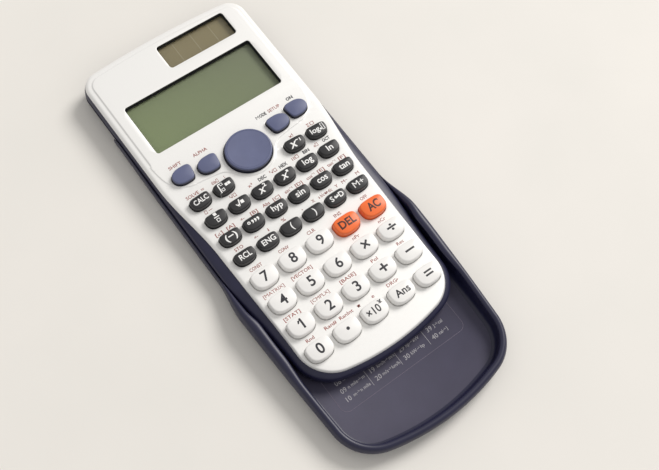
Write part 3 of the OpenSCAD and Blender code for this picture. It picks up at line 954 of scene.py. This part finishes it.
SCREW_SPOTS = [(sign * x, y) for x, y in ((32.2, 70), (33.4, 13), (20, -74)) for sign in (-1, 1)]
SCREW_RECESS = 1.9
SCREW_BOSS = 2.4
REAR_THICK = 1.2
SCREW_DEPTH = 1.4
REAR_WALL = 1.5
REAR_ROUND = (2.4, 1.9)  # how far in and how high its rounded underside reaches
# Up the shoulders: a height, and the share of the way in to the front shell's outline
SHOULDERS = [(7.3, 0.03), (7.7, 0.12), (8.1, 0.27), (8.45, 0.47), (8.7, 0.64), (8.9, 0.8), (9.02, 0.92),
             (PARTING - 0.05, 1)]


def circle(x, y, r, count=32):
    angles = [2 * math.pi * i / count for i in range(count)]
    return [(x + r * math.cos(t), y + r * math.sin(t)) for t in angles]


def rear_shell():
    """Rear shell: rounded underside, upright sides with the rail grooves, and shoulders at the top."""
    shape = Shape()
    groove_x, groove_low, groove_high = HALF_WIDTH - 0.8, BODY_LIFT + 1.95, BODY_LIFT + 3.45

    def level(d, z, t=0, grooved=False):
        loop = blended(inset(REAR, d), FRONT, t)
        if grooved:
            loop = [(max(-groove_x, min(groove_x, x)) if y < FRONT_END - 3 else x, y) for x, y in loop]
        return shape.ring(loop, z)

    inward, up = REAR_ROUND
    quarter = steps(0, math.pi / 2, 6)
    rings = [level(inward * (1 - math.sin(t)), BODY_LIFT + up * (1 - math.cos(t))) for t in quarter]
    rings += [level(0, groove_low), level(0, groove_low, grooved=True), level(0, groove_high, grooved=True)]
    rings += [level(0, groove_high), level(0, 6.9)]
    rings += [level(0, z, share) for z, share in SHOULDERS]
    floor_z = BODY_LIFT + REAR_THICK
    wall = [shape.ring(inset(FRONT, 0.9), PARTING - 0.05), shape.ring(inset(FRONT, REAR_WALL), 7.8),
            shape.ring(inset(FRONT, REAR_WALL), floor_z)]
    shape.loft(rings + wall)
    recesses, bosses = [], []
    for x, y in SCREW_SPOTS:
        recess, boss = circle(x, y, SCREW_RECESS), circle(x, y, SCREW_BOSS)
        mouth, seat = (shape.ring(recess, z) for z in (BODY_LIFT, BODY_LIFT + SCREW_DEPTH))
        foot, top = (shape.ring(boss, z) for z in (floor_z, floor_z + SCREW_DEPTH))
        shape.strip(mouth, seat)
        shape.strip(foot, top)
        shape.face(seat)
        shape.face(top)
        recesses.append(mouth)
        bosses.append(foot)
    shape.sheet(rings[0], recesses, [], None)
    shape.sheet(wall[-1], bosses, [], None)
    return make_piece("rear_shell_skin", shape, "calculator", [navy], 32, ["rear_shell"])


rear_shell()

# ---------------------------------------------------------------- slide case


def wall_section(y):
    """Distance in and height round the case's wall, from its underside over the lip to the floor."""
    h = rim_z(y)
    b = eased(along(RIM_RISE, y))
    thick = (case_half(max(y, LIP_THICK_TO)) - CASE_INNER) * mouth_share(y)
    lip = mix(thick, LIP, clamped(along(LIP_SPAN, y)))
    over = lip + overhang(y)
    return [
        (mix(2, 4.2, b), 0), (mix(0.6, 2, b), mix(0.5, 1, b)), (mix(0.1, 0.6, b), mix(1.6, 3.2, b)),
        (0, mix(3, 6, b)), (mix(0, 0.25, b), mix(h - 0.6, h - 1.5, b)), (over * 0.27, h - mix(0.1, 0.4, b)),
        (over * 0.55, h), (over * 0.85, h - mix(0.1, 0.3, b)), (over, h - mix(0.3, 0.9, b)),
        (mix(lip, over, 0.6), h - mix(0.7, 1.7, b)), (lip, h - mix(1, 2.4, b)),
        (lip, CASE_FLOOR + mix(0.4, 1.6, b)), (lip + mix(0.2, 0.6, b), CASE_FLOOR + mix(0.1, 0.5, b)),
        (lip + mix(0.5, 1.8, b), CASE_FLOOR),
    ]


def case_path():
    """The case's outline, open at its mouth: the end, the flared sides, and the straight low walls."""
    lower = arched_end(CASE_END, CASE_CORNER_X, CASE_CORNER, ARCH, CASE_CORNER_TURN)
    end = [(x, -y) for x, y in lower]
    sides = [(case_half(y), y) for y in steps(end[-1][1], LOW_WALL_START, 44)[1:]]
    bend = CASE_MOUTH - MOUTH_ROUND
    low = steps(LOW_WALL_START, bend, 12)[1:] + steps(bend, CASE_MOUTH, 6)[1:]
    right = end + sides + [(CASE_INNER + LOW_WALL * mouth_share(y), y) for y in low]
    return right[::-1] + [(-x, y) for x, y in right[1:]]


RAIL_INNER = HALF_WIDTH - 0.5
RAIL_OUTER = HALF_WIDTH + 0.4
# Places along a rail, and how far its face stands back there
RAIL_STATIONS = ((-16, 0.4), (-13, 0), (45, 0), (48, 0.4))
RAIL_LOW, RAIL_HIGH = 4.4, 5.4


def add_rail(shape, side):
    """Low rail along one side wall, tapered at both ends and rounded where it runs in the groove."""
    rings = []
    for y, back in RAIL_STATIONS:
        inner = RAIL_INNER + back
        section = [
            (RAIL_OUTER, RAIL_LOW), (inner + 0.25, RAIL_LOW), (inner, RAIL_LOW + 0.2),
            (inner, RAIL_HIGH - 0.2), (inner + 0.25, RAIL_HIGH), (RAIL_OUTER, RAIL_HIGH)]
        rings.append(shape.add([(side * x, y, z) for x, z in section]))
    shape.loft(rings)
    shape.face(rings[0])
    shape.face(rings[-1])


def slide_case():
    """Hard case: a rounded wall round a grained floor, open at the display end, with two rails."""
    shape = Shape()
    path = case_path()
    stations = []
    for i, (x, y) in enumerate(path):
        if y > LOW_WALL_START - 1e-6:
            nx, ny = (-1 if x > 0 else 1), 0
        else:
            (x0, y0), (x1, y1) = path[i - 1], path[i + 1]
            long = math.hypot(x1 - x0, y1 - y0)
            nx, ny = (y1 - y0) / long, -(x1 - x0) / long
        section = chaikin(wall_section(y), 2)
        stations.append(shape.add([(x + d * nx, y + d * ny, z) for d, z in section]))
    shape.loft(stations, closed=False)
    shape.face([s[0] for s in stations][::-1])
    shape.face([s[-1] for s in stations], 1)
    shape.face(stations[0] + stations[-1][::-1])
    for side in (-1, 1):
        add_rail(shape, side)
    finishes = [navy_case, navy_floor]
    return make_piece("slide_case_skin", shape, "case", finishes, 32, ["slide_case"])


slide_case()

# Unit conversions printed on the case's floor: each pair is listed both ways, in four columns of ten lines
UNIT_PAIRS = [
    ("in", "cm"), ("ft", "m"), ("yd", "m"), ("mile", "km"), ("n mile", "m"), ("acre", "m²"), ("gal(US)", "L"),
    ("gal(UK)", "L"), ("pc", "km"), ("km/h", "m/s"), ("oz", "g"), ("lb", "kg"), ("atm", "Pa"), ("mmHg", "Pa"),
    ("hp", "kW"), ("kgf/cm²", "Pa"), ("kgf·m", "J"), ("lbf/in²", "kPa"), ("°F", "°C"), ("J", "cal"),
]
TABLE_LEFT = -26.8
TABLE_PITCH = (13.85, 3.6)
TABLE_END = -85.8
TABLE_FRAME = (-30.6, 28.6, -90, -48, 3)
TABLE_WIDEST = 8.2


def add_bar(shape, x0, x1, y0, y1, z):
    """Thin printed line."""
    low, high = (shape.ring([(x0, y0), (x1, y0), (x1, y1), (x0, y1)], h) for h in (z, z + INK))
    shape.strip(low, high)
    shape.face(low)
    shape.face(high)


def tray_print():
    shape = Shape()
    z = CASE_FLOOR + 0.01
    for i, pair in enumerate(UNIT_PAIRS):
        column = i // 5
        for back, (a, b) in enumerate((pair, pair[::-1])):
            line = 2 * (i % 5) + back
            x = TABLE_LEFT + column * TABLE_PITCH[0]
            y = TABLE_END + (9 - line) * TABLE_PITCH[1]
            for text, size, start in ((f"{10 * column + line + 1:02}", 2.7, 0), (f"{a}→{b}", 1.9, 3.3)):
                letters = lettering(Mark(text, size, weight=0.02), fine=2)
                fit = min(1, TABLE_WIDEST / (2 * max(p[0] for p in letters.points)))
                letters.points = [(px * fit, py, pz) for px, py, pz in letters.points]
                width = max(p[0] for p in letters.points)
                left = x + start + width
                letters.points = [(left + px, y + py, z + INK + pz) for px, py, pz in letters.points]
                shape.merge(letters, 0)
    for column in (1, 2, 3):
        x = TABLE_LEFT + column * TABLE_PITCH[0] - 1.9
        add_bar(shape, x - 0.08, x + 0.08, TABLE_END - 1.6, TABLE_END + 9.5 * TABLE_PITCH[1], z)
    band = ((0, z), (0, z + INK), (-0.12, z + INK), (-0.12, z))
    rings = [shape.ring(rounded_loop(*TABLE_FRAME, g), h) for g, h in band]
    shape.loft(rings + rings[:1], finish=1)
    return make_piece("case_table", shape, "case", [grey_ink, faint_ink])


tray_print()

# ---------------------------------------------------------------- pieces that keep their CAD shape


def finish_node(node, material):
    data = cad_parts[node].data
    data.materials.clear()
    data.materials.append(material)


finish_node("lcd_panel", display_glass())
finish_node("solar_cell", solar_film())
finish_node("window_lens", clear_pane())
finish_node("circuit_board", moulded("board_green", (0.02, 0.11, 0.05), 0.45))
finish_node("lcd_ribbon", moulded("ribbon_amber", (0.45, 0.2, 0.04), 0.4))
finish_node("dome_sheet", moulded("silicone_grey", (0.45, 0.45, 0.44), 0.6))
finish_node("button_cell", moulded("cell_steel", (0.6, 0.6, 0.58), 0.25, metallic=1.0))
finish_node("battery_terminals", moulded("spring_brass", (0.6, 0.5, 0.28), 0.3, metallic=1.0))
finish_node("screws", moulded("screw_steel", (0.5, 0.5, 0.5), 0.3, metallic=1.0))
finish_node("pad_pivot", charcoal)

# ---------------------------------------------------------------- floor, light and camera


FLOOR_REACH = 3.0


def floor():
    shape = bpy.data.meshes.new("floor")
    r = FLOOR_REACH
    shape.from_pydata([(-r, -r, 0), (r, -r, 0), (r, r, 0), (-r, r, 0)], [], [(0, 1, 2, 3)])
    material, tree, shader = new_material("floor_paper", (0.77, 0.75, 0.71), 0.7)
    paper = noise_node(tree, 60.0)
    colour = ramp_between(tree, paper, (0.755, 0.735, 0.695), (0.785, 0.76, 0.72))
    tree.links.new(colour, shader.inputs["Base Color"])
    shape.materials.append(material)
    plane = bpy.data.objects.new("floor", shape)
    scene.collection.objects.link(plane)


def soft_light(name, place, aim, size, watts, colour):
    lamp = bpy.data.lights.new(name, "AREA")
    lamp.shape = "DISK"
    lamp.size = size
    lamp.energy = watts
    lamp.color = colour
    holder = bpy.data.objects.new(name, lamp)
    scene.collection.objects.link(holder)
    holder.location = place
    holder.rotation_euler = (Vector(aim) - Vector(place)).to_track_quat("-Z", "Y").to_euler()


floor()
soft_light("key_light", (2.6, 0.62, 2.33), (0, 0, 0), 1.65, 97, (1.0, 0.975, 0.945))
world = bpy.data.worlds.new("studio")
world.use_nodes = True
world.node_tree.nodes["Background"].inputs["Color"].default_value = (1.0, 0.985, 0.965, 1)
world.node_tree.nodes["Background"].inputs["Strength"].default_value = 0.6
scene.world = world
scene.view_settings.view_transform = "Standard"

camera = bpy.data.cameras.new("camera")
camera.lens = 56.43
camera.sensor_width = 36
camera.sensor_fit = "HORIZONTAL"
camera.clip_start = 0.01
viewer = bpy.data.objects.new("camera", camera)
scene.collection.objects.link(viewer)
viewer.location = Vector((-121.528, -117.389, 373.25)) * MM
viewer.rotation_euler = [math.radians(turn) for turn in (23.4291, -6.1426, -37.1046)]
scene.camera = viewer
